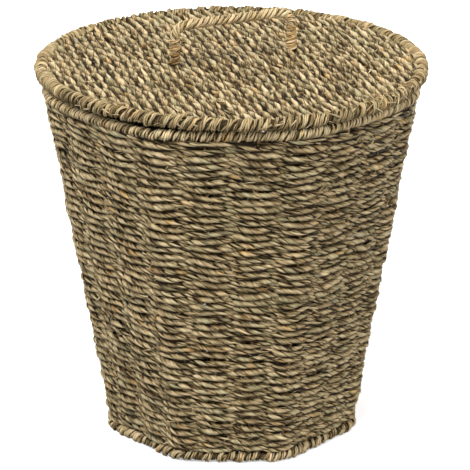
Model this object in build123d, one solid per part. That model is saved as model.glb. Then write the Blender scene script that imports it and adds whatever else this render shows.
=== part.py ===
from build123d import *
from math import asin, atan, cos, pi, radians, sin, sqrt, tan
import os

# Woven seagrass laundry basket: an eight-sided, tapered basket on a welded wire frame,
# with a loose round lid and a bow handle on the lid.  Millimetres, +Z up, the origin at
# the centre of the base on the floor.  The middle of the front side faces -Y.

# ---- driving dimensions -------------------------------------------------------------
SIDES = 8
HALF_SIDE_ANGLE = pi / SIDES

BASE_RING_Z = 6.2            # height of the base ring wire's centre
BASE_RING_R = 142.0          # ring centre to a corner, before the corner is rounded
BASE_BOW = 1.2               # how far a side bows outward at its middle
BASE_CORNER_R = 30.0
WALL_FOOT_INSET = 2.2        # the uprights' feet stand this far inside the base ring's centre

TOP_RING_Z = 392.5
TOP_RING_R = 203.0
TOP_BOW = 8.0
TOP_CORNER_R = 60.0

RING_WIRE_R = 2.0
UPRIGHT_WIRE_R = 1.6
UPRIGHTS_PER_SIDE = 3
WALL_HALF_THICKNESS = 5.6    # woven wall, measured from the uprights' centres

BASE_WRAP_R = 6.4            # wrapped roll round the base ring, flattened at the floor
TOP_WRAP_R = 6.0             # wrapped roll round the top ring

BASE_STAKES = 7
BASE_STAKE_SPACING = 36.0
STAKE_WIRE_R = 1.5
BASE_PANEL_THICKNESS = 9.0

LID_RING_R = 202.5
LID_WRAP_R = 7.3
LID_REST_GAP = 0.3           # between the lid's rim and the basket's rim, lid closed
LID_STAKES = 14
LID_STAKE_SPACING = 27.0
LID_STAKE_ANGLE = 24.5       # degrees from +X
LID_PANEL_THICKNESS = 10.4

HANDLE_SPAN = 137.0          # between the centres of the legs
HANDLE_HEIGHT = 41.0         # bar's centre above the woven panel
HANDLE_BEND_R = 14.0
HANDLE_WIRE_R = 2.0
HANDLE_WRAP_R = 5.6
HANDLE_SHIFT = 8.5           # along the stake that the handle stands on
LASHING_R = 6.2
LASHING_HEIGHT = 16.0

FIT_GAP = 0.05               # clearance between a wire and what is wrapped round it

# ---- worked-out values --------------------------------------------------------------
LID_RING_Z = TOP_RING_Z + TOP_WRAP_R + LID_REST_GAP + LID_WRAP_R
LID_PANEL_TOP = LID_RING_Z + LID_PANEL_THICKNESS / 2
BASE_RING = (BASE_RING_R, BASE_BOW, BASE_CORNER_R)
TOP_RING = (TOP_RING_R, TOP_BOW, TOP_CORNER_R)
WALL_FOOT = (BASE_RING_R - WALL_FOOT_INSET, BASE_BOW, BASE_CORNER_R)
CUT_LENGTH = 600.0           # long enough to cross the whole basket


def chord_and_apothem(corner_r):
    """Side length and centre-to-side distance of an octagon with this corner radius."""
    return 2 * corner_r * sin(HALF_SIDE_ANGLE), corner_r * cos(HALF_SIDE_ANGLE)


def soft_octagon(corner_r, bow, rounding):
    """Face of an octagon whose sides bow outward and whose corners are rounded."""
    _, apothem = chord_and_apothem(corner_r)
    edges = []
    for k in range(SIDES):
        middle = -pi / 2 + 2 * k * HALF_SIDE_ANGLE
        ends = [middle - HALF_SIDE_ANGLE, middle + HALF_SIDE_ANGLE]
        first, last = [(corner_r * cos(a), corner_r * sin(a)) for a in ends]
        reach = apothem + bow
        edges.append(ThreePointArc(first, (reach * cos(middle), reach * sin(middle)), last))
    face = make_face(Curve() + edges)
    return fillet(face.vertices(), radius=rounding)


def outline_distance(corner_r, bow, rounding, off_normal):
    """Distance from the centre to the soft octagon, off_normal radians from a side's middle."""
    chord, apothem = chord_and_apothem(corner_r)
    side_r = (chord ** 2 / 4 + bow ** 2) / (2 * bow)
    centre = apothem + bow - side_r
    if abs(off_normal) < HALF_SIDE_ANGLE - 1e-6:
        return centre * cos(off_normal) + sqrt(side_r ** 2 - (centre * sin(off_normal)) ** 2)
    turn = 2 * HALF_SIDE_ANGLE - 2 * asin(chord / 2 / side_r)
    return corner_r - rounding * (1 / cos(turn / 2) - 1)


def wall_shape(z):
    """Corner radius, bow and rounding of the wall's middle surface at height z."""
    part = (z - BASE_RING_Z) / (TOP_RING_Z - BASE_RING_Z)
    return [low + (high - low) * part for low, high in zip(WALL_FOOT, TOP_RING)]


def outline(shape, z, offset=0.0):
    """Outline at height z with this corner radius, bow and rounding, moved outward by offset."""
    corner_r, bow, rounding = shape
    grown = corner_r + offset / cos(HALF_SIDE_ANGLE)
    return Pos(0, 0, z) * soft_octagon(grown, bow, rounding + offset)


def ring_tube(shape, z, tube_r):
    """Round bar that follows an outline at height z."""
    path = outline(shape, z).face().outer_wire()
    section = Plane(origin=path @ 0, z_dir=path % 0) * Circle(tube_r)
    return sweep(section, path=path)


def rod(start, end, radius):
    """Straight round rod between two points."""
    start, end = Vector(*start), Vector(*end)
    along = end - start
    bar = Cylinder(radius, along.length, align=(Align.CENTER, Align.CENTER, Align.MIN))
    return Plane(origin=start, z_dir=along) * bar


def upright_angles():
    """Angle of each upright and its angle off the middle of its side."""
    third = atan(tan(HALF_SIDE_ANGLE) / UPRIGHTS_PER_SIDE)
    angles = []
    for k in range(SIDES):
        middle = -pi / 2 + 2 * k * HALF_SIDE_ANGLE
        for off in (-third, third, HALF_SIDE_ANGLE):
            angles.append((middle + off, off))
    return angles


def upright_point(angle, off, z):
    """Centre of an upright at height z."""
    ends = [outline_distance(*shape, off) for shape in (WALL_FOOT, TOP_RING)]
    part = (z - BASE_RING_Z) / (TOP_RING_Z - BASE_RING_Z)
    reach = ends[0] + (ends[1] - ends[0]) * part
    return reach * cos(angle), reach * sin(angle), z


def uprights(radius, low_z, high_z):
    """All the uprights, as rods of one radius between two heights."""
    rods = []
    for angle, off in upright_angles():
        low, high = upright_point(angle, off, low_z), upright_point(angle, off, high_z)
        rods.append(rod(low, high, radius))
    return rods


def parallel_stakes(count, spacing, radius, z, angle):
    """Long parallel rods in a row, centred on the Z axis."""
    rods = []
    for k in range(count):
        y = (k - (count - 1) / 2) * spacing
        bar = rod((-CUT_LENGTH / 2, y, z), (CUT_LENGTH / 2, y, z), radius)
        rods.append(Rot(0, 0, angle) * bar)
    return rods


def trim_rods(rods, envelope):
    """Each rod cut to the length that lies inside the envelope."""
    return [bar & envelope for bar in rods]


def cut_all(body, tools):
    """The body with every tool's shape taken out of it."""
    return body - tools


# ---- basket -------------------------------------------------------------------------
def make_base_rim_wrap(upright_cuts, stake_cuts):
    roll = ring_tube(BASE_RING, BASE_RING_Z, BASE_WRAP_R)
    floor_cut = Box(CUT_LENGTH, CUT_LENGTH, BASE_RING_Z,
                    align=(Align.CENTER, Align.CENTER, Align.MAX))
    channel = ring_tube(BASE_RING, BASE_RING_Z, RING_WIRE_R + FIT_GAP)
    return cut_all(roll - floor_cut - channel, upright_cuts + stake_cuts)


def make_top_rim_wrap(upright_cuts):
    roll = ring_tube(TOP_RING, TOP_RING_Z, TOP_WRAP_R)
    channel = ring_tube(TOP_RING, TOP_RING_Z, RING_WIRE_R + FIT_GAP)
    return cut_all(roll - channel, upright_cuts)


def make_wall_weave(upright_cuts):
    low = BASE_RING_Z + BASE_WRAP_R + FIT_GAP
    high = TOP_RING_Z - TOP_WRAP_R - FIT_GAP
    shells = []
    for offset in (WALL_HALF_THICKNESS, -WALL_HALF_THICKNESS):
        ends = [outline(wall_shape(z), z, offset) for z in (low, high)]
        shells.append(loft(ends, ruled=True))
    return cut_all(shells[0] - shells[1], upright_cuts)


def make_base_weave(stake_cuts):
    inset = -(BASE_WRAP_R + 2 * FIT_GAP)
    panel = extrude(outline(BASE_RING, BASE_RING_Z, inset), BASE_PANEL_THICKNESS / 2, both=True)
    return cut_all(panel, stake_cuts)


def make_base_stakes():
    inset = -(RING_WIRE_R + FIT_GAP)
    reach = extrude(outline(BASE_RING, BASE_RING_Z, inset), 2 * STAKE_WIRE_R, both=True)
    rods = parallel_stakes(BASE_STAKES, BASE_STAKE_SPACING, STAKE_WIRE_R, BASE_RING_Z, 0)
    return trim_rods(rods, reach)


# ---- lid ----------------------------------------------------------------------------
def lid_torus(tube_r):
    return Pos(0, 0, LID_RING_Z) * Torus(LID_RING_R, tube_r)


def lid_stake_rods(radius):
    return parallel_stakes(LID_STAKES, LID_STAKE_SPACING, radius, LID_RING_Z, LID_STAKE_ANGLE)


def make_lid_stakes():
    reach = LID_RING_R - RING_WIRE_R - FIT_GAP
    return trim_rods(lid_stake_rods(STAKE_WIRE_R), Pos(0, 0, LID_RING_Z) * Cylinder(reach, 10))


def make_lid_weave(stake_cuts):
    panel_r = LID_RING_R - LID_WRAP_R - FIT_GAP
    panel = Pos(0, 0, LID_RING_Z) * Cylinder(panel_r, LID_PANEL_THICKNESS)
    return cut_all(panel, stake_cuts)


def make_lid_rim_wrap(stake_cuts):
    return cut_all(lid_torus(LID_WRAP_R) - lid_torus(RING_WIRE_R + FIT_GAP), stake_cuts)


def handle_place(shape):
    """Stand a shape, modelled along X at the lid panel's top, over its lid stake."""
    shift = Pos(HANDLE_SHIFT, LID_STAKE_SPACING / 2, LID_PANEL_TOP)
    return Rot(0, 0, LID_STAKE_ANGLE) * shift * shape


def handle_bow(tube_r, foot_z):
    """Round bar bent into the handle's bow, its feet at foot_z from the panel's top."""
    half = HANDLE_SPAN / 2
    points = [(-half, 0, foot_z), (-half, 0, HANDLE_HEIGHT),
              (half, 0, HANDLE_HEIGHT), (half, 0, foot_z)]
    path = FilletPolyline(*points, radius=HANDLE_BEND_R)
    return sweep(Plane(origin=points[0], z_dir=(0, 0, 1)) * Circle(tube_r), path=path)


def make_handle_wire():
    foot = -LID_PANEL_THICKNESS / 2 + STAKE_WIRE_R + FIT_GAP
    return handle_place(handle_bow(HANDLE_WIRE_R, foot))


def make_handle_wrap():
    foot = LASHING_HEIGHT + 2 * FIT_GAP
    return handle_place(handle_bow(HANDLE_WRAP_R, foot) - handle_bow(HANDLE_WIRE_R + FIT_GAP, foot))


def make_handle_lashing(side):
    sleeve = Cylinder(LASHING_R, LASHING_HEIGHT, align=(Align.CENTER, Align.CENTER, Align.MIN))
    bore = Cylinder(HANDLE_WIRE_R + FIT_GAP, 3 * LASHING_HEIGHT)
    return handle_place(Pos(side * HANDLE_SPAN / 2, 0, FIT_GAP) * (sleeve - bore))


def handle_leg_cuts():
    """Holes through the woven panel for the handle's wire legs."""
    depth = LID_PANEL_THICKNESS / 2
    bore = Cylinder(HANDLE_WIRE_R + FIT_GAP, depth, align=(Align.CENTER, Align.CENTER, Align.MAX))
    return [handle_place(Pos(side * HANDLE_SPAN / 2, 0, 0) * bore) for side in (-1, 1)]


# ---- all the nodes ------------------------------------------------------------------
def build_nodes():
    wire_gap = RING_WIRE_R + FIT_GAP
    upright_ends = (BASE_RING_Z + wire_gap, TOP_RING_Z - wire_gap)
    upright_cuts = uprights(UPRIGHT_WIRE_R + FIT_GAP, BASE_RING_Z, TOP_RING_Z)
    base_cuts = parallel_stakes(BASE_STAKES, BASE_STAKE_SPACING, STAKE_WIRE_R + FIT_GAP,
                                BASE_RING_Z, 0)
    lid_cuts = lid_stake_rods(STAKE_WIRE_R + FIT_GAP)

    nodes = {
        "base_ring_wire": ring_tube(BASE_RING, BASE_RING_Z, RING_WIRE_R),
        "top_ring_wire": ring_tube(TOP_RING, TOP_RING_Z, RING_WIRE_R),
        "base_rim_wrap": make_base_rim_wrap(upright_cuts, base_cuts),
        "top_rim_wrap": make_top_rim_wrap(upright_cuts),
        "wall_weave": make_wall_weave(upright_cuts),
        "base_weave": make_base_weave(base_cuts),
        "lid_ring_wire": lid_torus(RING_WIRE_R),
        "lid_weave": make_lid_weave(lid_cuts + handle_leg_cuts()),
        "lid_rim_wrap": make_lid_rim_wrap(lid_cuts),
        "handle_wire": make_handle_wire(),
        "handle_wrap": make_handle_wrap(),
        "handle_lashing_left": make_handle_lashing(-1),
        "handle_lashing_right": make_handle_lashing(1),
    }
    groups = {
        "upright": uprights(UPRIGHT_WIRE_R, *upright_ends),
        "base_stake": make_base_stakes(),
        "lid_stake": make_lid_stakes(),
    }
    for name, shapes in groups.items():
        for number, shape in enumerate(shapes, start=1):
            nodes[f"{name}_{number:02d}"] = shape
    return nodes


os.makedirs("parts", exist_ok=True)
for node_name, shape in build_nodes().items():
    export_step(shape, f"parts/{node_name}.step")
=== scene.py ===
from math import atan2, cos, pi, radians, sin, sqrt, tan

import bpy
import numpy as np
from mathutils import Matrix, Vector


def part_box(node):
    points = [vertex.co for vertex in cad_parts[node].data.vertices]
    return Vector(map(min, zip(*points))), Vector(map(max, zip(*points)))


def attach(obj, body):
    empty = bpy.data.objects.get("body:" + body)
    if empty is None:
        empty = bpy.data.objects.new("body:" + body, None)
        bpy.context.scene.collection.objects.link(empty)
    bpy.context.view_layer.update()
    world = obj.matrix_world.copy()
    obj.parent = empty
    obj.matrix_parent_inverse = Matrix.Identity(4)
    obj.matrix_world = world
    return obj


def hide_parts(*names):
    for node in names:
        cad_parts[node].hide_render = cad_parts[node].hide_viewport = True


# Woven seagrass laundry basket.  Twisted two-ply cord is woven row by row over and under the
# packed wire frame; the rims and the handle are wound with strands of the same grass.
# Metres, +Z up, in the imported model's own frame.

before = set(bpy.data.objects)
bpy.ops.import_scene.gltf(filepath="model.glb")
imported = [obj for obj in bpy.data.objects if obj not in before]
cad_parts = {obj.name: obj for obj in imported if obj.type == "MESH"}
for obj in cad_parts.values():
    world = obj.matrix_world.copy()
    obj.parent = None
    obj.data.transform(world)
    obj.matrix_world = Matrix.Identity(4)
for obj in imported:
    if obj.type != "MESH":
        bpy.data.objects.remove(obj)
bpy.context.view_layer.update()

MM = 0.001
SEED = 20

# ---- the basket's outline ----
HALF_SIDE_ANGLE = pi / 8
BASE_BOW, TOP_BOW = 1.2 * MM, 8.0 * MM            # outward bow of the eight sides
BASE_CORNER_R, TOP_CORNER_R = 30 * MM, 60 * MM    # rounding of the eight corners
FOOT_INSET = 2.2 * MM                             # the wall's foot stands inside the base ring

SLACK_ANGLE = radians(-138)    # the lid stands clear of the rim at the left of the front
SLACK_SPREAD = radians(34)
LID_SLACK, RIM_SLACK = 2.8 * MM, 2.0 * MM         # the lid's edge up, the rim down

# ---- how the grass is worked ----
CORD_OFFSET = 1.2 * MM         # from a cord's centre to the centre of each of its two plies
PLY_HALF_WIDTH = 2.1 * MM
PLY_HALF_DEPTH = 1.45 * MM
SQUEEZE = 0.3                  # how much wider a ply is pressed where it crosses a wire
INNER_HOLD = 0.24              # share by which a row is held back on its inner side of a wire
LEAF_SIDES = 5                 # round the section of a leaf that lies beside another
PLY_SIDES = 7                  # and of one that makes a whole ply

# Leaves that share a ply: where they lie, as shares of the ply's half width or half depth.
LEAF_ASIDE, LEAF_RAISED = 0.52, 0.45
LEAF_WIDTH, LEAF_DEPTH = 0.62, 0.85        # the width is for one of two
LEAF_FAN = 0.5                 # how far a leaf tips to the side that it lies on
LEAF_LEAD = 34 * MM            # one full turn of the leaves round one another

# Noise along a strand: its amount, and the distance between its knots.
PATCH, LID_PATCH = 14 * MM, 30 * MM        # how long a ply keeps one tone and girth
GIRTH_NOISE = 0.28
PLY_TONE_NOISE = 0.35
TURN_NOISE = (1.0, 45 * MM)
ROLL_NOISE = (1.2, 40 * MM)
LEAF_WIDTH_NOISE = (0.2, 12 * MM)
LEAF_TONE_NOISE, LEAF_TONE_DRIFT = 0.3, (0.15, 70 * MM)
LEAF_TONE_SPREAD = 0.12        # from leaf to leaf
HUE_NOISE, HUE_PEAKS = (0.08, 20 * MM), 0.24
HUE_DRIFT = (0.1, 120 * MM)
HUE_SPREAD = 0.05
CORD_HUE, STRAY_HUE, CORE_HUE = 0.46, 0.5, 0.6    # places on the range of grass colours

# Every cord of the weave, on the wall and on the flat panels.
REACH_SHARE = 0.9              # rows bow by this share of their reach, on average
LEAD_RANGE = (0.85, 1.2)       # some cords are twisted more tightly than others

# ---- painted shade on the grass, in steps of the tone that its material reads ----
EDGE_SHADE = 0.35              # painted shade at a leaf's edges and on its inner side,
TWIST_SHADE = 2.6              # deep between the plies of a cord,
WINDING_SHADE = 2.1            # deep between the turns of a winding,
ROW_SHADE = 0.85               # and where one row meets the next
GROOVE_START = 0.86            # share of the outermost distance where a groove begins
GROOVE_RANGE = 0.36            # and the share over which it deepens
ROW_EDGE = 0.5                 # share of the way to the next row where the painted shade begins

# ---- the wall ----
WALL_ROWS = 87
WALL_PIECES = 10
WALL_STEP = 2.4 * MM           # between points along a row
WALL_START_SPREAD = 0.5        # where each row starts, either side of the middle of the back
MEAN_REACH_ANGLE = 0.2         # where the wall is about its mean distance from the axis
WALL_LEAD = 21.5 * MM          # length of one full twist of the cord
WALL_LAST_ROWS, WALL_LAST_LEAD = 3, 1.5    # the rows under the rim are twisted less
WALL_EDGE_ROWS = 3             # these run even, at the top and at the bottom
WALL_REACH = 2.7 * MM          # how far a row moves in and out round the uprights
WALL_SHIFT = 0.4 * MM          # rows stand a little outside the uprights
WALL_SIZE, WALL_SIZE_SPREAD = 1.12, 0.12
WALL_TONE = (-0.02, 0.26)
WALL_SINK_SHADE, WALL_SINK_START = 1.5, 0.1      # painted shade where a row passes behind an upright

# Noise that the rows share: its amount, and its knots up the wall and round it.
WALL_SAMPLES = 720
WALL_WAVES = (2.6 * MM, 11, 24)
WALL_PINCH = (0.9 * MM, 42, 52)
WALL_BULGE = (0.8 * MM, 10, 18)
# Noise of each row's own: its amount, and its knots round the wall.
WALL_WOBBLE = (0.5 * MM, 45)
WALL_REACH_NOISE = (0.6, 40)
WALL_SIZE_NOISE = (0.14, 16)

# ---- the flat panels: the lid's top and the basket's bottom ----
# lead, reach, sink_shade and size are as for the wall, and waves is noise that the rows share.
# partings counts the gaps, and hold is the share by which rows are held back on the underside.
LID_PANEL = {
    "pieces": 4, "pitch": 5.0 * MM, "step": 2.0 * MM, "lead": 39 * MM, "reach": 1.8 * MM,
    "size": 1.13, "twist": 0.68, "tone": 0.2, "patch": LID_PATCH, "sink_shade": 1.3,
    "hold": INNER_HOLD, "waves": (1.4 * MM, 14, 8), "partings": 60,
}
BASE_PANEL = {
    "pieces": 2, "pitch": 5.6 * MM, "step": 3.0 * MM, "lead": 30 * MM, "reach": 2.2 * MM,
    "size": 1.15, "twist": 1.0, "tone": -0.1, "patch": PATCH, "sink_shade": 1.5,
    "hold": 0.0, "waves": (0.8 * MM, 12, 6), "partings": 0,
}
PANEL_SAMPLES = 200
PANEL_MARGIN = 2 * MM          # between the outermost rows and the ring
LID_ROW_END, BASE_ROW_END = 2.5 * MM, 4 * MM    # rows end this far inside the ring
PANEL_SIZE_SPREAD, PANEL_TONE_SPREAD = 0.1, 0.15    # from row to row
# where painted shade begins as a row passes under a stake
PANEL_SINK_START = 0.3
PANEL_PASS_NOISE = (0.12, 25 * MM)    # in where a row crosses over, counted in stakes
PANEL_REACH_NOISE = (0.5, 20 * MM)
PANEL_WOBBLE = (0.6 * MM, 13 * MM)
PANEL_SIZE_NOISE = (0.12, 30 * MM)

# ---- gaps opened at random between rows ----
WALL_PARTINGS = 80
WALL_PUSH, PANEL_PUSH = 1.9 * MM, 2.2 * MM
PUSH_RANGE = (0.4, 1.0)        # share of the push
PARTING_ROWS = 1.8             # rows over which a parting fades
PARTING_WIDTH = 8 * MM

# ---- loose leaves and fibres ----
WALL_STRAYS, LID_STRAYS, RIM_STRAYS = 2600, 90, 150
FINE_FIBRE = {"length": (3.5 * MM, 8 * MM), "rise": (1.5 * MM, 5.5 * MM),
              "half_width": (0.3 * MM, 0.6 * MM), "tone": (-0.6, 0.5)}
BROAD_LEAF = {"length": (8 * MM, 16 * MM), "rise": (-1.5 * MM, 0.8 * MM),
              "half_width": (0.9 * MM, 1.5 * MM), "tone": (-0.6, 0.4)}
WALL_STRAY_ROOT = (2.2 * MM, 3.6 * MM)     # outward from the middle of the weave
LID_STRAY_ROOT = (2.6 * MM, 3.6 * MM)
WALL_STRAY_SLANT, LID_STRAY_SLANT, RIM_STRAY_SLANT = 0.7, 0.8, 0.9
WALL_STRAY_FOOT, WALL_STRAY_TOP, LID_STRAY_EDGE = 6 * MM, 3 * MM, 4 * MM    # kept clear
WALL_STRAY_DROOP = 0.15
STRAY_POINTS = 7
STRAY_CURL = 0.25              # sideways, as a share of its length
STRAY_THICKNESS = 0.45         # as a share of its width
STRAY_TIP = 0.02               # keeps its tip from shrinking to a point
RIM_STRAY_ROOT = 6.4 * MM      # from the lid's ring wire to the outside of its winding
RIM_STRAY_AROUND = (-0.3, 1.2)     # radians up from the rim's outermost line

# ---- windings ----
# Each ply is its distance from the wire's centre and its half width.  lead is the length of one
# turn, hand which way it goes round, and reach the distance out to the winding's surface.  Plies
# stray by sway along the wire and by ragged outward.  swell is how much a ring's winding grows
# fatter and thinner, and swells the number of its knots round the ring.
LID_RIM = {
    "plies": ((4.9 * MM, 2.4 * MM), (4.7 * MM, 2.3 * MM), (5.1 * MM, 2.2 * MM)),
    "lead": 16 * MM, "hand": -1, "reach": 7.2 * MM, "sway": 2.6 * MM, "ragged": 0.7 * MM,
    "tone": -0.25, "hue": 0.46, "leaves": 3,
    "core": 4.4 * MM, "core_shade_tone": -1.6, "core_step": 4 * MM,
    "swell": 0.7 * MM, "swells": 90,
}
TOP_RIM = {
    "plies": ((4.1 * MM, 1.8 * MM), (3.9 * MM, 1.8 * MM), (4.2 * MM, 1.7 * MM)),
    "lead": 12 * MM, "hand": -1, "reach": 6.2 * MM, "sway": 1.5 * MM, "ragged": 0.8 * MM,
    "tone": 0.5, "hue": 0.48, "leaves": 2,
    "core": 3.4 * MM, "core_shade_tone": -1.2, "core_step": 4 * MM,
    "swell": 0.5 * MM, "swells": 80,
}
BASE_RIM = {
    "plies": ((3.8 * MM, 2.3 * MM), (3.4 * MM, 2.1 * MM)),
    "lead": 12 * MM, "hand": -1, "reach": 6.1 * MM, "sway": 2.2 * MM, "ragged": 1.2 * MM,
    "tone": 0.15, "hue": 0.52, "leaves": 3,
    "core": 2.6 * MM, "core_shade_tone": -1.0, "core_step": 4 * MM,
    "swell": 0.5 * MM, "swells": 70,
}
HANDLE = {
    "plies": ((4.0 * MM, 1.7 * MM), (3.7 * MM, 1.8 * MM), (4.1 * MM, 1.6 * MM),
              (3.8 * MM, 1.7 * MM)),
    "lead": 25 * MM, "hand": -1, "reach": 5.0 * MM, "sway": 1.2 * MM, "ragged": 0.35 * MM,
    "tone": 0.3, "hue": 0.54, "leaves": 3,
    "core": 3.2 * MM, "core_shade_tone": -0.8, "core_step": 4 * MM,
}
LASHING = {
    "plies": ((4.4 * MM, 1.7 * MM), (4.6 * MM, 1.6 * MM)),
    "lead": 5.6 * MM, "hand": 1, "reach": 5.4 * MM, "sway": 0.8 * MM, "ragged": 0.5 * MM,
    "tone": -0.2, "hue": 0.68, "leaves": 2,
    "core": 3.4 * MM, "core_shade_tone": -0.9, "core_step": 2 * MM,
}
WINDING_STEPS = 18             # points in each turn
WINDING_DEPTH = 0.8            # a ply's thickness as a share of its width
WINDING_WIDTH_NOISE, WINDING_TONE_NOISE = 0.3, 0.3
SWAY_KNOTS, RAGGED_KNOTS, WIDTH_KNOTS, TONE_KNOTS = 2.2, 2.6, 1.7, 2    # in each turn
SWELL_SAMPLES = 700
CORE_SIDES = 10

HANDLE_WIRE_R = 2 * MM
HANDLE_BEND_R = 14 * MM
HANDLE_SUNK = 5 * MM           # how far its winding runs on down into the lid
LASHING_SUNK, LASHING_RISE = 1 * MM, 9 * MM


# ---- small helpers ----
def unit(vectors):
    return vectors / np.linalg.norm(vectors, axis=-1, keepdims=True)


def radial_at(angle):
    """Directions away from the +Z axis at polar angles."""
    return np.stack([np.cos(angle), np.sin(angle), 0 * angle], -1)


def tangent_at(angle):
    """Directions round the +Z axis at polar angles."""
    return np.stack([-np.sin(angle), np.cos(angle), 0 * angle], -1)


def run_length(path):
    """Distance along a path at each of its points."""
    steps = np.linalg.norm(np.diff(path, axis=0), axis=1)
    return np.concatenate([[0.0], np.cumsum(steps)])


def blend_knots(heights, place):
    """Heights at places counted in knots, eased from each knot to the next."""
    left = np.minimum(place.astype(int), len(heights) - 2)
    part = place - left
    part = part * part * (3 - 2 * part)
    if heights.ndim == 2:
        part = part[:, None]
    return heights[left] * (1 - part) + heights[left + 1] * part


def smooth_noise(rng, count, knots, closed=False):
    """Smooth noise between -1 and 1: count values through knots random heights."""
    knots = max(1, int(knots))
    heights = rng.uniform(-1, 1, knots + 1)
    if closed:
        heights[-1] = heights[0]
    return blend_knots(heights, np.linspace(0, knots, count))


def noise_along(rng, count, length, noise):
    """Smooth noise along a strand.  noise is its amount and the distance between its knots."""
    amount, spacing = noise
    return amount * smooth_noise(rng, count, length / spacing)


def shared_noise(rng, rows, count, noise, closed=False):
    """Noise that is smooth along each row and from row to row."""
    amount, row_knots, knots = noise
    lines = np.array([smooth_noise(rng, count, knots, closed) for _ in range(row_knots + 1)])
    return amount * blend_knots(lines, np.linspace(0, row_knots, rows))


def partings(rng, rows, places, number, push, width):
    """How far each row is pushed aside at its places by gaps opened at random between rows."""
    pushed = np.zeros((rows, len(places)))
    row = np.arange(rows)[:, None]
    span = places[-1] - places[0]
    for _ in range(number):
        off_row = row - rng.uniform(1, rows - 2)
        off_place = (places - rng.uniform(places[0], places[-1]) + span / 2) % span - span / 2
        fade = np.exp(-np.abs(off_row) / PARTING_ROWS) * np.exp(-(off_place / width) ** 2)
        pushed += rng.uniform(*PUSH_RANGE) * push * np.sign(off_row) * fade
    return pushed


def node_middle(name):
    low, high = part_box(name)
    return np.array((low + high) / 2)


def numbered(prefix):
    return sorted(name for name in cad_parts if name.startswith(prefix + "_"))


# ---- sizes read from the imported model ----
class RingOutline:
    """Plan outline of a wire ring: an octagon with bowed sides and rounded corners."""

    def __init__(self, node, bow, rounding):
        low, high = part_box(node)
        self.z = (high.z + low.z) / 2
        reach = high.x - (high.z - low.z) / 2
        half_side = (reach - bow) * tan(HALF_SIDE_ANGLE)
        self.side_r = (half_side ** 2 + bow ** 2) / (2 * bow)
        self.side_middle = reach - self.side_r
        self.rounding = rounding
        across = self.side_middle * sin(HALF_SIDE_ANGLE)
        along = self.side_middle * cos(HALF_SIDE_ANGLE)
        self.corner_middle = along + sqrt((self.side_r - rounding) ** 2 - across ** 2)
        corner_x = self.corner_middle * cos(HALF_SIDE_ANGLE)
        corner_y = self.corner_middle * sin(HALF_SIDE_ANGLE)
        stretch = self.side_r / (self.side_r - rounding)
        self.side_ends = atan2(corner_y * stretch,
                               self.side_middle + (corner_x - self.side_middle) * stretch)

    def distance(self, angle):
        """Distance from the centre at polar angles."""
        off = np.abs((angle + HALF_SIDE_ANGLE) % (2 * HALF_SIDE_ANGLE) - HALF_SIDE_ANGLE)
        on_side = self.side_middle * np.cos(off) + np.sqrt(
            self.side_r ** 2 - (self.side_middle * np.sin(off)) ** 2)
        off_corner = np.maximum(HALF_SIDE_ANGLE - off, 0)
        inside = self.rounding ** 2 - (self.corner_middle * np.sin(off_corner)) ** 2
        on_corner = self.corner_middle * np.cos(off_corner) + np.sqrt(np.maximum(inside, 0))
        return np.where(off < self.side_ends, on_side, on_corner)


BASE_RING = RingOutline("base_ring_wire", BASE_BOW, BASE_CORNER_R)
TOP_RING = RingOutline("top_ring_wire", TOP_BOW, TOP_CORNER_R)
WALL_LEAN = np.arctan2(TOP_RING.distance(0.0) - BASE_RING.distance(0.0),
                       TOP_RING.z - BASE_RING.z)
WALL_LOW, WALL_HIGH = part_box("wall_weave")[0].z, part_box("wall_weave")[1].z
UPRIGHT_ANGLES = np.sort([atan2(*node_middle(name)[1::-1]) for name in numbered("upright")])

lid_low, lid_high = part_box("lid_ring_wire")
LID_Z = (lid_high.z + lid_low.z) / 2
LID_RING_R = lid_high.x - (lid_high.z - lid_low.z) / 2

FOOT_LEFT = node_middle("handle_lashing_left")
FOOT_RIGHT = node_middle("handle_lashing_right")
STAKE_DIRECTION = unit((FOOT_RIGHT - FOOT_LEFT) * (1, 1, 0))
ROW_DIRECTION = np.array((-STAKE_DIRECTION[1], STAKE_DIRECTION[0], 0))
LID_STAKE_PLACES = np.sort([node_middle(name) @ ROW_DIRECTION for name in numbered("lid_stake")])
BASE_STAKE_PLACES = np.sort([node_middle(name)[1] for name in numbered("base_stake")])


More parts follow.
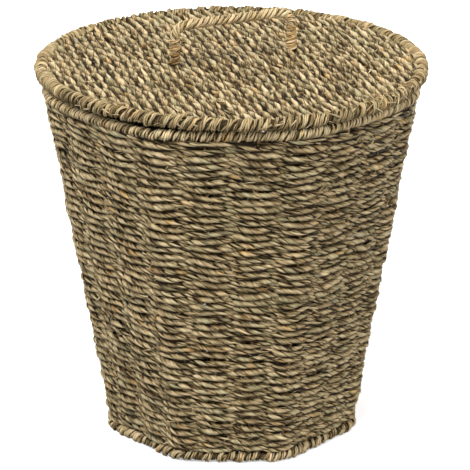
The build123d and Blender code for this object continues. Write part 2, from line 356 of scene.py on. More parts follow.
# ---- strands as mesh ----
class StrandMesh:
    """Gathers strands of grass into one object, with the attributes its material reads."""

    def __init__(self):
        self.points, self.loops, self.sizes = [], [], []
        self.fibre, self.tone, self.hue = [], [], []
        self.count = 0

    def add(self, rng, path, facing, half_width, half_depth, tone, hue, sides=LEAF_SIDES,
            grooves=None):
        """One leaf along a path.  Its width lies across the facing direction."""
        n = len(path)
        along = unit(np.gradient(path, axis=0))
        side = unit(np.cross(along, facing))
        facing = np.cross(side, along)
        distance = run_length(path)
        angle = (pi / 2 + np.linspace(0, 2 * pi, sides, endpoint=False))[None, :]
        across = np.broadcast_to(half_width, n)[:, None] * np.cos(angle)
        deep = np.broadcast_to(half_depth, n)[:, None] * np.sin(angle)
        points = path[:, None] + side[:, None] * across[..., None]
        points = points + facing[:, None] * deep[..., None]
        points[..., 2] = np.maximum(points[..., 2], 0)      # pressed flat where it meets the floor
        shade = np.broadcast_to(tone, n)[:, None] + 0 * angle
        # painted shade: in the grooves, and at the leaf's edges and inner side
        if grooves is not None:
            shade = shade - grooves.shade(points) - EDGE_SHADE * (1 - np.sin(angle))
        offset = rng.uniform(-9, 9, 3)                      # no two leaves show the same fibres
        fibre = np.stack([np.broadcast_to(distance[:, None], across.shape), across, deep], -1)
        self.points.append(points.reshape(-1, 3))
        self.fibre.append((fibre + offset).reshape(-1, 3))
        self.tone.append(shade.ravel())
        self.hue.append(np.repeat(np.broadcast_to(hue, n), sides))
        self._add_faces(n, sides)

    def _add_faces(self, n, sides):
        ring = np.arange(sides)
        start = (np.arange(n - 1) * sides)[:, None]
        quads = np.stack([start + ring, start + (ring + 1) % sides,
                          start + sides + (ring + 1) % sides, start + sides + ring], -1)
        last = (n - 1) * sides
        caps = [ring[::-1], last + ring]
        for corners, size in ((quads.ravel(), 4), (np.concatenate(caps), sides)):
            self.loops.append(corners + self.count)
            self.sizes.append(np.full(len(corners) // size, size))
        self.count += n * sides

    def make_object(self, name):
        mesh = bpy.data.meshes.new(name)
        points = np.concatenate(self.points)
        loops, sizes = np.concatenate(self.loops), np.concatenate(self.sizes)
        mesh.vertices.add(len(points))
        mesh.vertices.foreach_set("co", points.astype(np.float32).ravel())
        mesh.loops.add(len(loops))
        mesh.loops.foreach_set("vertex_index", loops.astype(np.int32))
        mesh.polygons.add(len(sizes))
        starts = np.concatenate([[0], np.cumsum(sizes)[:-1]])
        mesh.polygons.foreach_set("loop_start", starts.astype(np.int32))
        mesh.polygons.foreach_set("use_smooth", np.ones(len(sizes), bool))
        mesh.update(calc_edges=True)
        fibre = mesh.attributes.new("fibre", "FLOAT_VECTOR", "POINT")
        fibre.data.foreach_set("vector", np.concatenate(self.fibre).astype(np.float32).ravel())
        # tone holds each leaf's own tone and the painted shade laid on it
        for label, values in (("tone", self.tone), ("hue", self.hue)):
            layer = mesh.attributes.new(label, "FLOAT", "POINT")
            layer.data.foreach_set("value", np.concatenate(values).astype(np.float32))
        piece = bpy.data.objects.new(name, mesh)
        bpy.context.scene.collection.objects.link(piece)
        return piece


class GrooveShade:
    """Painted shade: how much darker grass is painted where it sinks between its neighbours.

    hub is the line that the leaves twist round, and reach the outermost distance from it.
    across points from one row of the weave to the next.
    """

    def __init__(self, hub, reach, depth, across=None):
        self.hub, self.reach, self.depth, self.across = hub, reach, depth, across

    def shade(self, points):
        away = (points - self.hub[:, None]) / self.reach
        share = np.linalg.norm(away, axis=2)
        # painted shade deep in the grooves, and where one row meets the next
        dull = self.depth * np.clip((GROOVE_START - share) / GROOVE_RANGE, 0, 1)
        if self.across is not None:
            aside = np.abs(np.sum(away * self.across[:, None], axis=2))
            dull = dull + ROW_SHADE * np.clip((aside - ROW_EDGE) / (1 - ROW_EDGE), 0, 1)
        return dull


def place_piece(strands, name, body, material, nodes):
    """Finish a piece: its material, the body it rides on and the CAD nodes it stands for."""
    piece = strands.make_object(name)
    piece.data.materials.append(material)
    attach(piece, body)
    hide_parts(*nodes)


# ---- leaves, plies and cords ----
def leaf_tone(rng, count, length, base, patch):
    """Light and dark along a leaf: in patches, drifting slowly, and from leaf to leaf."""
    patches = noise_along(rng, count, length, (LEAF_TONE_NOISE, patch))
    drift = noise_along(rng, count, length, LEAF_TONE_DRIFT)
    return base + patches + drift + rng.uniform(-LEAF_TONE_SPREAD, LEAF_TONE_SPREAD)


def leaf_hue(rng, count, length, middle):
    """Place on the range of grass colours, from green-grey through straw to brown."""
    amount, spacing = HUE_NOISE
    patches = smooth_noise(rng, count, length / spacing)
    drift = noise_along(rng, count, length, HUE_DRIFT)
    return (middle + HUE_PEAKS * patches ** 3 + amount * patches + drift
            + rng.uniform(-HUE_SPREAD, HUE_SPREAD))


def add_ply(strands, rng, path, facing, half_width, half_depth, tone, hue, grooves, leaves,
            patch=PATCH):
    """Leaves of grass lying side by side, which slowly roll round one another."""
    count = len(path)
    length = run_length(path)[-1]
    if leaves == 1:
        strands.add(rng, path, facing, half_width, half_depth,
                    leaf_tone(rng, count, length, tone, patch),
                    leaf_hue(rng, count, length, hue), PLY_SIDES, grooves)
        return
    side = unit(np.cross(np.gradient(path, axis=0), facing))
    roll = 2 * pi * run_length(path) / LEAF_LEAD + noise_along(rng, count, length, ROLL_NOISE)
    for leaf in range(leaves):
        phase = roll + 2 * pi * leaf / leaves
        aside = (LEAF_ASIDE * half_width * np.cos(phase))[:, None] * side
        raised = (LEAF_RAISED * half_depth * np.sin(phase))[:, None] * facing
        fan = facing + LEAF_FAN * np.cos(phase)[:, None] * side
        width = LEAF_WIDTH * half_width * (2 / leaves) ** 0.5
        width = width * (1 + noise_along(rng, count, length, LEAF_WIDTH_NOISE))
        strands.add(rng, path + aside + raised, fan, width, LEAF_DEPTH * half_depth,
                    leaf_tone(rng, count, length, tone, patch),
                    leaf_hue(rng, count, length, hue), LEAF_SIDES, grooves)


def add_cord(strands, rng, centre, out, lead, size, tone, pressed, leaves, twist=1.0,
             patch=PATCH):
    """Two plies with a right-hand twist round a centre line.

    pressed is 1 where the cord crosses a wire, leaves lists how many leaves make each ply, and
    twist is under 1 in a slack cord, whose plies stand closer in.
    """
    count = len(centre)
    along = unit(np.gradient(centre, axis=0))
    across = np.cross(along, out)
    distance = run_length(centre)
    length = distance[-1]
    turn = 2 * pi * distance / lead + rng.uniform(0, 2 * pi)
    turn += noise_along(rng, count, length, TURN_NOISE)
    # painted shade between the plies and between the rows
    reach = (CORD_OFFSET * twist + PLY_HALF_DEPTH) * float(np.mean(size))
    grooves = GrooveShade(centre, reach, TWIST_SHADE, across)
    for ply, parts in enumerate(leaves):
        phase = (turn + pi * ply)[:, None]
        radial = np.cos(phase) * out + np.sin(phase) * across
        girth = size * (1 + noise_along(rng, count, length, (GIRTH_NOISE, patch)))
        path = centre + radial * (CORD_OFFSET * twist * size)[:, None]
        width = PLY_HALF_WIDTH * girth * (1 + SQUEEZE * pressed)
        ply_tone = tone + noise_along(rng, count, length, (PLY_TONE_NOISE, patch))
        add_ply(strands, rng, path, radial, width, PLY_HALF_DEPTH * girth, ply_tone, CORD_HUE,
                grooves, parts, patch)


def add_stray(strands, rng, root, out, along, kind):
    """A loose leaf or fibre: it leaves the surface at its root and curls up at its end."""
    length, rise, half_width, tone = (rng.uniform(*kind[name]) for name in
                                      ("length", "rise", "half_width", "tone"))
    part = np.linspace(0, 1, STRAY_POINTS)[:, None]
    side = np.cross(out, along)
    curl = rng.uniform(-STRAY_CURL, STRAY_CURL) * length
    path = root + along * length * part + out * rise * part ** 2 + side * curl * part ** 2
    width = half_width * np.sqrt(np.clip(1 + STRAY_TIP - part[:, 0], 0, 1))
    facing = np.broadcast_to(out, path.shape)
    strands.add(rng, path, facing, width, STRAY_THICKNESS * width, tone,
                leaf_hue(rng, STRAY_POINTS, length, STRAY_HUE))


# ---- the wall ----
def wall_reach_at(angle, height):
    """Distance of the wall's middle surface from the basket's axis."""
    part = (height - BASE_RING.z) / (TOP_RING.z - BASE_RING.z)
    return (BASE_RING.distance(angle) - FOOT_INSET) * (1 - part) + TOP_RING.distance(angle) * part


def plan_normal(angle, reach):
    """Outward direction in plan of a closed outline given by its distances at polar angles."""
    slope = np.gradient(reach, angle)
    return unit(radial_at(angle) * reach[:, None] - tangent_at(angle) * slope[:, None])


def upright_count_at(angle):
    """Counts uprights passed, so that it is a whole number at each upright."""
    turns = np.floor((angle - UPRIGHT_ANGLES[0]) / (2 * pi))
    wrapped = angle - turns * 2 * pi
    places = np.append(UPRIGHT_ANGLES, UPRIGHT_ANGLES[0] + 2 * pi)
    return np.interp(wrapped, places, np.arange(len(places))) + turns * len(UPRIGHT_ANGLES)


def over_and_under(passed, row):
    """1 where a row is outside a wire and -1 where it is inside; it changes from row to row."""
    return np.cos(pi * passed) * (1 if row % 2 else -1)


def held_back(swing, hold):
    """The swing of a row that bows less on the inner side."""
    return swing - hold * swing * (1 - swing)


def add_wall_row(strands, rng, row, middle_z, rise, bulge):
    """One row of cord.  rise and bulge list how far it strays up and out, round the wall."""
    def own_noise(noise):
        amount, knots = noise
        return amount * smooth_noise(rng, samples, knots)

    grid = np.linspace(0, 2 * pi, WALL_SAMPLES)
    around = 2 * pi * float(wall_reach_at(np.array(MEAN_REACH_ANGLE), middle_z))
    samples = int(around / WALL_STEP)
    start = pi / 2 + rng.uniform(-WALL_START_SPREAD, WALL_START_SPREAD)
    angle = np.linspace(start, start + 2 * pi, samples)
    wrapped = angle % (2 * pi)
    edge = min(row + 0.5, WALL_ROWS - row - 0.5) / WALL_EDGE_ROWS
    height = middle_z + min(1.0, edge) * (np.interp(wrapped, grid, rise) + own_noise(WALL_WOBBLE))
    reach = wall_reach_at(angle, height)
    surface = radial_at(angle) * reach[:, None]
    surface[:, 2] = height
    out = plan_normal(angle, reach) * cos(WALL_LEAN) + np.array((0, 0, -sin(WALL_LEAN)))
    out = unit(out)
    swing = over_and_under(upright_count_at(angle), row)
    amount = WALL_REACH * (REACH_SHARE + own_noise(WALL_REACH_NOISE))
    shift = WALL_SHIFT + amount * held_back(swing, INNER_HOLD) + np.interp(wrapped, grid, bulge)
    size = WALL_SIZE + WALL_SIZE_SPREAD * rng.uniform(-1, 1) + own_noise(WALL_SIZE_NOISE)
    lead = WALL_LEAD * rng.uniform(*LEAD_RANGE)
    if row >= WALL_ROWS - WALL_LAST_ROWS:
        lead *= WALL_LAST_LEAD
    # painted shade where the row passes behind an upright
    tone = rng.uniform(*WALL_TONE) - WALL_SINK_SHADE * np.clip(WALL_SINK_START - swing, 0, 1)
    add_cord(strands, rng, surface + out * shift[:, None], out, lead, size, tone,
             pressed=swing ** 2, leaves=(1, 2))


def make_wall(material):
    rng = np.random.default_rng(SEED)
    pitch = (WALL_HIGH - WALL_LOW) / WALL_ROWS
    waves, pinch, bulge = [shared_noise(rng, WALL_ROWS, WALL_SAMPLES, noise, closed=True)
                           for noise in (WALL_WAVES, WALL_PINCH, WALL_BULGE)]
    width = PARTING_WIDTH / wall_reach_at(0.0, 0.5 * (WALL_LOW + WALL_HIGH))
    rise = waves + pinch + partings(rng, WALL_ROWS, np.linspace(0, 2 * pi, WALL_SAMPLES),
                                    WALL_PARTINGS, WALL_PUSH, width)
    for piece, rows in enumerate(np.array_split(np.arange(WALL_ROWS), WALL_PIECES)):
        strands = StrandMesh()
        for row in rows:
            middle_z = WALL_LOW + (row + 0.5) * pitch
            add_wall_row(strands, rng, row, middle_z, rise[row], bulge[row])
        place_piece(strands, f"wall_rows_{piece + 1}", "basket", material,
                    ["wall_weave"])


def make_wall_strays(material):
    rng = np.random.default_rng(SEED + 10)
    strands = StrandMesh()
    for k in range(WALL_STRAYS):
        angle = rng.uniform(-pi, pi)
        height = rng.uniform(WALL_LOW + WALL_STRAY_FOOT, WALL_HIGH - WALL_STRAY_TOP)
        reach = float(wall_reach_at(np.array(angle), height)) + rng.uniform(*WALL_STRAY_ROOT)
        out = np.array((cos(angle), sin(angle), -WALL_STRAY_DROOP))
        slant = rng.uniform(-WALL_STRAY_SLANT, WALL_STRAY_SLANT)
        along = rng.choice((-1, 1)) * tangent_at(angle)
        along = unit(along * cos(slant) + np.array((0, 0, sin(slant))))
        root = np.array((reach * cos(angle), reach * sin(angle), height))
        add_stray(strands, rng, root, out, along, FINE_FIBRE if k % 3 > 0 else BROAD_LEAF)
    place_piece(strands, "wall_loose_leaves", "basket", material, ["wall_weave"])


# ---- the flat panels ----
class Panel:
    """A flat panel: where its rows and stakes lie, and how far it reaches."""

    def __init__(self, across, along, z, facing, stakes, half_across, half_length_at):
        self.across, self.along, self.z, self.facing = across, along, z, facing
        self.stakes, self.half_across, self.half_length_at = stakes, half_across, half_length_at


def add_panel_row(strands, rng, row, offset, panel, style, stray):
    """One row of cord.  stray gives how far it is pushed sideways at places along it."""
    def own_noise(noise):
        return noise_along(rng, samples, half, noise)

    half = panel.half_length_at(offset)
    samples = max(8, int(2 * half / style["step"]))
    place = np.linspace(-half, half, samples)
    passed = np.interp(place, panel.stakes, np.arange(len(panel.stakes)))
    swing = over_and_under(passed + own_noise(PANEL_PASS_NOISE), row)
    lift = style["reach"] * (REACH_SHARE + own_noise(PANEL_REACH_NOISE))
    lift = lift * held_back(swing, style["hold"])
    sideways = stray(place) + own_noise(PANEL_WOBBLE)
    centre = panel.across * (offset + sideways)[:, None] + panel.along * place[:, None]
    centre[:, 2] += panel.z + lift
    out = np.broadcast_to(np.array(panel.facing, float), centre.shape)
    size = 1 + PANEL_SIZE_SPREAD * rng.uniform(-1, 1) + own_noise(PANEL_SIZE_NOISE)
    lead = style["lead"] * rng.uniform(*LEAD_RANGE)
    tone = style["tone"] + rng.uniform(-PANEL_TONE_SPREAD, PANEL_TONE_SPREAD)
    # painted shade where the row passes under a stake
    tone = tone - style["sink_shade"] * np.clip(PANEL_SINK_START - swing, 0, 1)
    add_cord(strands, rng, centre, out, lead, style["size"] * size, tone, pressed=swing ** 2,
             leaves=(1, 1), twist=style["twist"], patch=style["patch"])


def make_panel(rng, panel, style, name, body, node, material):
    count = int(2 * (panel.half_across - PANEL_MARGIN) / style["pitch"])
    grid = np.linspace(-panel.half_across, panel.half_across, PANEL_SAMPLES)
    pushed = shared_noise(rng, count, PANEL_SAMPLES, style["waves"])
    pushed = pushed + partings(rng, count, grid, style["partings"], PANEL_PUSH, PARTING_WIDTH)
    offsets = (np.arange(count) - (count - 1) / 2) * style["pitch"]
    for piece, rows in enumerate(np.array_split(np.arange(count), style["pieces"])):
        strands = StrandMesh()
        for row in rows:
            add_panel_row(strands, rng, row, offsets[row], panel, style,
                          lambda place: np.interp(place, grid, pushed[row]))
        place_piece(strands, f"{name}_{piece + 1}", body, material, [node])


def make_lid_weave(material):
    rng = np.random.default_rng(SEED + 1)
    panel = Panel(STAKE_DIRECTION, ROW_DIRECTION, LID_Z, (0, 0, 1), LID_STAKE_PLACES, LID_RING_R,
                  lambda offset: sqrt(max(LID_RING_R ** 2 - offset ** 2, 0)) - LID_ROW_END)
    make_panel(rng, panel, LID_PANEL, "lid_rows", "lid", "lid_weave", material)


def make_base_weave(material):
    rng = np.random.default_rng(SEED + 2)
    angle = np.linspace(0, pi, 400)
    rim = radial_at(angle) * (BASE_RING.distance(angle) - BASE_ROW_END)[:, None]
    panel = Panel(np.array((1.0, 0, 0)), np.array((0, 1.0, 0)), BASE_RING.z, (0, 0, -1),
                  BASE_STAKE_PLACES, rim[0, 0],
                  lambda offset: float(np.interp(-offset, -rim[:, 0], rim[:, 1])))
    make_panel(rng, panel, BASE_PANEL, "base_rows", "basket", "base_weave",
               material)


def make_lid_strays(material):
    rng = np.random.default_rng(SEED + 11)
    strands = StrandMesh()
    up = np.array((0, 0, 1.0))
    for k in range(LID_STRAYS):
        place = (LID_RING_R - LID_STRAY_EDGE) * sqrt(rng.uniform(0, 1))
        angle = rng.uniform(-pi, pi)
        root = place * radial_at(angle) + up * (LID_Z + rng.uniform(*LID_STRAY_ROOT))
        slant = rng.uniform(-LID_STRAY_SLANT, LID_STRAY_SLANT)
        along = rng.choice((-1, 1)) * (ROW_DIRECTION * cos(slant) + STAKE_DIRECTION * sin(slant))
        add_stray(strands, rng, root, up, along, FINE_FIBRE if k % 3 == 0 else BROAD_LEAF)
    for k in range(RIM_STRAYS):
        angle = rng.uniform(-pi, pi)
        tangent = tangent_at(angle) * rng.choice((-1, 1))
        lean = rng.uniform(*RIM_STRAY_AROUND)
        out = radial_at(angle) * cos(lean) + up * sin(lean)
        root = radial_at(angle) * LID_RING_R + up * LID_Z + out * RIM_STRAY_ROOT
        slant = rng.uniform(-RIM_STRAY_SLANT, RIM_STRAY_SLANT)
        along = unit(tangent + np.cross(out, tangent) * slant)
        add_stray(strands, rng, root, out, along, FINE_FIBRE if k % 2 == 0 else BROAD_LEAF)
    place_piece(strands, "lid_loose_leaves", "lid", material, ["lid_weave"])


# ---- wound rims and handle ----
class Axis:
    """A line that strands are wound round: its points and two directions square to it."""

    def __init__(self, path, out, closed=False):
        self.path = path
        self.closed = closed
        self.distance = run_length(path)
        self.length = self.distance[-1]
        along = unit(np.gradient(path, axis=0))
        self.out = unit(out - along * np.sum(out * along, axis=1, keepdims=True))
        self.up = np.cross(along, self.out)

    def at(self, distance):
        """Point, outward direction and the direction square to it at distances along."""
        found = []
        for values in (self.path, self.out, self.up):
            columns = [np.interp(distance, self.distance, values[:, k]) for k in range(3)]
            found.append(np.stack(columns, -1))
        return found[0], unit(found[1]), unit(found[2])


def ring_axis(reach_at, height_at, points=900):
    angle = np.linspace(pi / 2, pi / 2 + 2 * pi, points)
    reach = reach_at(angle)
    path = radial_at(angle) * reach[:, None]
    path[:, 2] = height_at(angle)
    return Axis(path, plan_normal(angle, reach), closed=True)


def post_axis(middle, low_z, high_z, points=40):
    path = np.repeat(middle[None, :], points, axis=0)
    path[:, 2] = np.linspace(low_z, high_z, points)
    return Axis(path, np.broadcast_to(ROW_DIRECTION, path.shape))


def handle_axis(foot_z):
    """The bow's centre line from foot_z on one leg to foot_z on the other."""
    bar_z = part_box("handle_wire")[1].z - HANDLE_WIRE_R
    half = np.linalg.norm((FOOT_RIGHT - FOOT_LEFT)[:2]) / 2
    bend = np.linspace(0, pi / 2, 16)
    left = np.stack([-half + HANDLE_BEND_R * (1 - np.cos(bend)),
                     bar_z - HANDLE_BEND_R * (1 - np.sin(bend))], -1)
    right = left[::-1] * (-1, 1)
    flat = np.concatenate([[(-half, foot_z)], left, right, [(half, foot_z)]])
    share = run_length(flat) / run_length(flat)[-1]
    x, z = (np.interp(np.linspace(0, 1, 400), share, flat[:, k]) for k in range(2))
    middle = (FOOT_LEFT + FOOT_RIGHT) / 2
    path = middle * (1, 1, 0) + STAKE_DIRECTION * x[:, None] + np.array((0, 0, 1)) * z[:, None]
    return Axis(path, np.broadcast_to(ROW_DIRECTION, path.shape))


def add_core(strands, rng, axis, style):
    """The hidden grass under a winding, so that no light shows between the turns; its dark tone is
    painted shade for the gaps between the turns.
    """
    count = int(axis.length / style["core_step"])
    point, out, _ = axis.at(np.linspace(0, axis.length, count))
    radius = style["core"]
    strands.add(rng, point, out, radius, radius, style["core_shade_tone"], CORE_HUE, CORE_SIDES)


def wind(strands, rng, axis, radius, half_width, start, lead, swell, style):
    """One ply wound round an axis from end to end.

    start is its lead over the first ply, in turns, and swell lists how much fatter the winding
    is at even steps along the axis.
    """
    turns = axis.length / lead
    count = int(turns * WINDING_STEPS)
    turn = np.linspace(0, turns, count)
    sway = style["sway"] * smooth_noise(rng, count, turns * SWAY_KNOTS)
    distance = (turn + start) * lead + sway
    point, out, up = axis.at(np.clip(distance, 0, axis.length))
    angle = (style["hand"] * 2 * pi * turn)[:, None]
    radial = np.cos(angle) * out + np.sin(angle) * up
    swollen = np.interp(distance, np.linspace(0, axis.length, len(swell)), swell)
    far = radius + swollen + style["ragged"] * smooth_noise(rng, count, turns * RAGGED_KNOTS)
    width = WINDING_WIDTH_NOISE * smooth_noise(rng, count, turns * WIDTH_KNOTS)
    width = half_width * (1 + width)
    tone = WINDING_TONE_NOISE * smooth_noise(rng, count, turns * TONE_KNOTS) + style["tone"]
    # painted shade between the turns
    grooves = GrooveShade(point, style["reach"], WINDING_SHADE)
    add_ply(strands, rng, point + radial * far[:, None], radial, width, WINDING_DEPTH * width,
            tone, style["hue"], grooves, style["leaves"])


def make_winding(seed, axis, style, name, body, node, material):
    """A core and the plies wound round it side by side.  A closed axis takes whole turns."""
    rng = np.random.default_rng(seed)
    strands = StrandMesh()
    add_core(strands, rng, axis, style)
    lead, swell = style["lead"], (0.0, 0.0)
    if axis.closed:
        lead = axis.length / round(axis.length / lead)
        swell = style["swell"] * smooth_noise(rng, SWELL_SAMPLES, style["swells"], closed=True)
    for k, (radius, half_width) in enumerate(style["plies"]):
        wind(strands, rng, axis, radius, half_width, k / len(style["plies"]), lead, swell, style)
    place_piece(strands, name, body, material, [node])


def slack(angle):
    """Where the lid stands a little clear of the basket's rim: 1 in the middle of the gap."""
    off = (angle - SLACK_ANGLE + pi) % (2 * pi) - pi
    return np.exp(-(off / SLACK_SPREAD) ** 2)


def make_lid_rim(material):
    axis = ring_axis(lambda angle: LID_RING_R + 0 * angle,
                     lambda angle: LID_Z + LID_SLACK * slack(angle))
    make_winding(SEED + 3, axis, LID_RIM, "lid_rim_winding", "lid",
                 "lid_rim_wrap", material)


def make_top_rim(material):
    axis = ring_axis(TOP_RING.distance, lambda angle: TOP_RING.z - RIM_SLACK * slack(angle))
    make_winding(SEED + 4, axis, TOP_RIM, "top_rim_winding", "basket",
                 "top_rim_wrap", material)


def make_base_rim(material):
    axis = ring_axis(BASE_RING.distance, lambda angle: BASE_RING.z + 0 * angle)
    make_winding(SEED + 5, axis, BASE_RIM, "base_rim_winding", "basket",
                 "base_rim_wrap", material)


def make_handle(material):
    axis = handle_axis(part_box("handle_wrap")[0].z - HANDLE_SUNK)
    make_winding(SEED + 6, axis, HANDLE, "handle_winding", "lid",
                 "handle_wrap", material)


def make_lashings(material):
    for k, side in enumerate(("left", "right")):
        node = f"handle_lashing_{side}"
        low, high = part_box(node)
        axis = post_axis(node_middle(node), low.z - LASHING_SUNK, high.z + LASHING_RISE)
        make_winding(SEED + 7 + k, axis, LASHING, f"handle_binding_{side}", "lid",
                     node, material)


# ---- materials ----
def srgb(red, green, blue):
    """Linear colour, with alpha, from everyday 0-255 values."""
    def linear(value):
        value /= 255
        return value / 12.92 if value <= 0.04045 else ((value + 0.055) / 1.055) ** 2.4
    return linear(red), linear(green), linear(blue), 1.0


class Nodes:
    """Short calls for building a material's node tree."""

    def __init__(self, name):
        self.material = bpy.data.materials.new(name)
        self.material.use_nodes = True
        self.tree = self.material.node_tree
        self.shader = next(n for n in self.tree.nodes if n.type == "BSDF_PRINCIPLED")

    def add(self, kind, **settings):
        node = self.tree.nodes.new(kind)
        for key, value in settings.items():
            setattr(node, key, value)
        return node

    def link(self, source, target):
        self.tree.links.new(source, target)

    def attribute(self, name, output):
        return self.add("ShaderNodeAttribute", attribute_name=name).outputs[output]

    def maths(self, operation, *values):
        node = self.add("ShaderNodeMath", operation=operation)
        for socket, value in zip(node.inputs, values):
            if isinstance(value, (int, float)):
                socket.default_value = value
            else:
                self.link(value, socket)
        return node.outputs[0]

    def stretched_noise(self, coordinates, scale, detail=3.0):
        stretch = self.add("ShaderNodeVectorMath", operation="MULTIPLY")
        self.link(coordinates, stretch.inputs[0])
        stretch.inputs[1].default_value = scale
        noise = self.add("ShaderNodeTexNoise")
        noise.inputs["Scale"].default_value = 1.0
        noise.inputs["Detail"].default_value = detail
        self.link(stretch.outputs[0], noise.inputs["Vector"])
        return noise.outputs["Fac"]

    def ramp(self, value, stops):
        node = self.add("ShaderNodeValToRGB")
        elements = node.color_ramp.elements
        while len(elements) < len(stops):
            elements.new(0.5)
        for element, (place, colour) in zip(elements, stops):
            element.position = place
            element.color = colour
        self.link(value, node.inputs[0])
        return node.outputs["Color"]

    def times(self, colour, grey):
        node = self.add("ShaderNodeMix", data_type="RGBA", blend_type="MULTIPLY")
        node.inputs["Factor"].default_value = 1.0
        self.link(colour, node.inputs["A"])
        self.link(grey, node.inputs["B"])
        return node.outputs["Result"]


GRASS_HUES = (
    (0.00, srgb(156, 142, 128)), (0.20, srgb(168, 160, 124)), (0.42, srgb(192, 175, 136)),
    (0.62, srgb(202, 180, 142)), (0.82, srgb(200, 166, 108)), (1.00, srgb(166, 128, 90)),
)
TONE_LOW, TONE_HIGH = -2.0, 1.2
GRASS_TONES = (
    (-2.0, (0.012, 0.009, 0.005)), (-1.1, (0.11, 0.083, 0.049)), (-0.35, (0.58, 0.53, 0.44)),
    (0.3, (1.0, 0.99, 0.98)), (1.2, (1.4, 1.41, 1.45)),
)

# How many waves of each kind of noise fit in a metre: along a leaf, across it and through it.
STREAKS = (45, 900, 900)
FINE_FIBRES = (220, 3600, 3600)
FOLDS = (28, 420, 420)
BLOTCHES = (120, 300, 300)
BLOTCH_HUE = 0.5               # how far a blotch moves along the range of colours
CREASE_WIDTH = 0.06            # of the folds along a leaf, in the noise that lays them out
# Relief is the bump's height and also sets the tone: the fibres' own streaks, and painted shade
# down the creases of the folds.
STREAK_RELIEF, CREASE_RELIEF, FINE_RELIEF = 3.2, 0.45, 1.2
RELIEF_TONE, TONE_START = 0.92, -2.33    # tone for each step of relief, and without any
BUMP_STRENGTH, BUMP_HEIGHT = 0.8, 0.25 * MM
ROUGHNESS, STREAK_ROUGHNESS, SHEEN = 0.4, 0.35, 0.14
BODY_BRIGHTNESS, TOP_BRIGHTNESS, WINDING_BRIGHTNESS = 0.92, 0.96, 1.13


def grass_material(name, brightness):
    """Dried seagrass: long fibres, leaves of mixed colour, a dull waxy sheen."""
    nodes = Nodes(name)
    fibre = nodes.attribute("fibre", "Vector")
    streaks = nodes.stretched_noise(fibre, STREAKS, detail=2)
    fine = nodes.stretched_noise(fibre, FINE_FIBRES, detail=2)
    folds = nodes.stretched_noise(fibre, FOLDS, detail=0)
    blotches = nodes.stretched_noise(fibre, BLOTCHES, detail=2)
    hue = nodes.maths("ADD", nodes.attribute("hue", "Fac"),
                      nodes.maths("MULTIPLY_ADD", blotches, BLOTCH_HUE, -BLOTCH_HUE / 2))
    colour = nodes.ramp(hue, GRASS_HUES)
    # darker down the middle of each fold: painted shade in the crease
    crease = nodes.maths("ABSOLUTE", nodes.maths("SUBTRACT", folds, 0.5))
    crease = nodes.maths("MULTIPLY", crease, 1 / CREASE_WIDTH)
    crease = nodes.maths("MINIMUM", crease, 1.0)
    relief = nodes.maths("MULTIPLY_ADD", streaks, STREAK_RELIEF,
                         nodes.maths("MULTIPLY", crease, CREASE_RELIEF))
    relief = nodes.maths("MULTIPLY_ADD", fine, FINE_RELIEF, relief)
    shade = nodes.maths("MULTIPLY_ADD", relief, RELIEF_TONE, TONE_START)
    shade = nodes.maths("ADD", shade, nodes.attribute("tone", "Fac"))
    span = TONE_HIGH - TONE_LOW
    shade = nodes.maths("MULTIPLY_ADD", shade, 1 / span, -TONE_LOW / span)
    stops = [((value - TONE_LOW) / span, tuple(brightness * part for part in grey) + (1.0,))
             for value, grey in GRASS_TONES]
    nodes.link(nodes.times(colour, nodes.ramp(shade, stops)), nodes.shader.inputs["Base Color"])
    nodes.link(nodes.maths("MULTIPLY_ADD", streaks, STREAK_ROUGHNESS, ROUGHNESS),
               nodes.shader.inputs["Roughness"])
    nodes.shader.inputs["Specular IOR Level"].default_value = SHEEN
    bump = nodes.add("ShaderNodeBump")
    bump.inputs["Strength"].default_value = BUMP_STRENGTH
    bump.inputs["Distance"].default_value = BUMP_HEIGHT
    nodes.link(relief, bump.inputs["Height"])
    nodes.link(bump.outputs["Normal"], nodes.shader.inputs["Normal"])
    return nodes.material


def wire_material():
    """Wire with a worn golden-brown lacquer."""
    nodes = Nodes("golden_wire")
    place = nodes.add("ShaderNodeTexCoord").outputs["Object"]
    wear = nodes.stretched_noise(place, (90, 90, 90), detail=4)
    colour = nodes.ramp(wear, ((0.3, srgb(72, 52, 28)), (0.5, srgb(112, 82, 42)),
                               (0.72, srgb(144, 108, 56))))
    nodes.link(colour, nodes.shader.inputs["Base Color"])
    nodes.link(nodes.maths("MULTIPLY_ADD", wear, 0.3, 0.3), nodes.shader.inputs["Roughness"])
    return nodes.material


def finish_wires(material):
    """Give every CAD wire that is still shown the lacquered finish."""
    for name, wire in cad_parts.items():
        if not wire.hide_render:
            wire.data.materials.clear()
            wire.data.materials.append(material)


# ---- studio ----
CAMERA_LENS = 179.5
CAMERA_TARGET = Vector((0.0036, 0, 0.2105))
CAMERA_DISTANCE = 2.572
CAMERA_ELEVATION = radians(21.45)
FLOOR_HALF = 12.0
FLOOR_GLOW = 0.4               # lit from below, as a white studio table is
SKY_BLEND = 0.15               # height over which the sky dims to the light from below


def make_camera():
    data = bpy.data.cameras.new("camera")
    data.lens = CAMERA_LENS
    data.sensor_width = 36
    data.clip_end = 50
    camera = bpy.data.objects.new("camera", data)
    bpy.context.scene.collection.objects.link(camera)
    away = Vector((0, -cos(CAMERA_ELEVATION), sin(CAMERA_ELEVATION)))
    camera.location = CAMERA_TARGET + away * CAMERA_DISTANCE
    camera.rotation_euler = away.to_track_quat("Z", "Y").to_euler()
    bpy.context.scene.camera = camera


def add_sun(name, strength, softness, toward):
    """Even light from one side of the sky.  softness is the angle that its disc fills."""
    data = bpy.data.lights.new(name, "SUN")
    data.energy = strength
    data.angle = softness
    lamp = bpy.data.objects.new(name, data)
    bpy.context.scene.collection.objects.link(lamp)
    lamp.rotation_euler = Vector(toward).to_track_quat("Z", "Y").to_euler()


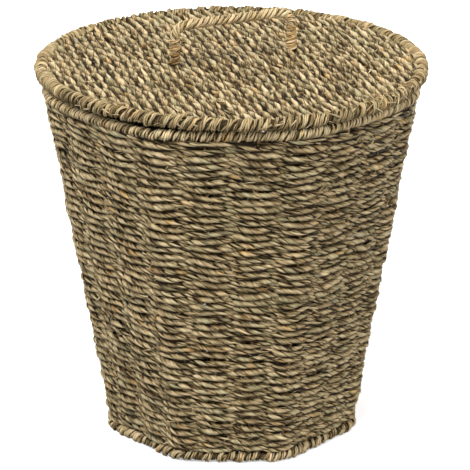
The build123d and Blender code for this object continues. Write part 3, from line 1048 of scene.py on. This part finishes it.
def make_sky(above, below):
    """White surroundings, dimmer below the horizon, so that grooves stay dark from underneath."""
    world = bpy.data.worlds.new("studio")
    world.use_nodes = True
    tree = world.node_tree
    backing = tree.nodes["Background"]
    place = tree.nodes.new("ShaderNodeTexCoord")
    split = tree.nodes.new("ShaderNodeSeparateXYZ")
    tree.links.new(place.outputs["Generated"], split.inputs[0])
    height = tree.nodes.new("ShaderNodeMapRange")
    height.inputs["From Min"].default_value = -SKY_BLEND
    height.inputs["From Max"].default_value = 0.0
    height.inputs["To Min"].default_value = below
    height.inputs["To Max"].default_value = above
    tree.links.new(split.outputs["Z"], height.inputs["Value"])
    tree.links.new(height.outputs["Result"], backing.inputs["Strength"])
    backing.inputs["Color"].default_value = (1, 1, 1, 1)
    bpy.context.scene.world = world


def make_studio():
    bpy.context.scene.view_settings.view_transform = "Standard"
    make_sky(above=0.7, below=0.18)
    add_sun("key_light", strength=3.2, softness=radians(35), toward=(-0.34, -0.4, 0.85))
    add_sun("fill_light", strength=1.5, softness=radians(60), toward=(0.7, -0.6, 0.42))


def make_floor():
    mesh = bpy.data.meshes.new("floor")
    corners = [(x * FLOOR_HALF, y * FLOOR_HALF, 0) for x, y in ((-1, -1), (1, -1), (1, 1), (-1, 1))]
    mesh.from_pydata(corners, [], [(0, 1, 2, 3)])
    floor = bpy.data.objects.new("floor", mesh)
    bpy.context.scene.collection.objects.link(floor)
    nodes = Nodes("pale_floor")
    nodes.shader.inputs["Base Color"].default_value = (0.95, 0.95, 0.95, 1)
    nodes.shader.inputs["Roughness"].default_value = 0.9
    nodes.shader.inputs["Emission Color"].default_value = (1, 1, 1, 1)
    nodes.shader.inputs["Emission Strength"].default_value = FLOOR_GLOW
    mesh.materials.append(nodes.material)
    floor.visible_diffuse = False


# ---- everything together ----
make_camera()
make_studio()
make_floor()

wall_grass = grass_material("seagrass_body", BODY_BRIGHTNESS)
lid_grass = grass_material("seagrass_top", TOP_BRIGHTNESS)
wrap_grass = grass_material("seagrass_winding", WINDING_BRIGHTNESS)

make_wall(wall_grass)
make_wall_strays(wall_grass)
make_base_weave(wall_grass)
make_top_rim(wrap_grass)
make_base_rim(wall_grass)
make_lid_weave(lid_grass)
make_lid_strays(lid_grass)
make_lid_rim(wrap_grass)
make_handle(wrap_grass)
make_lashings(wrap_grass)
finish_wires(wire_material())
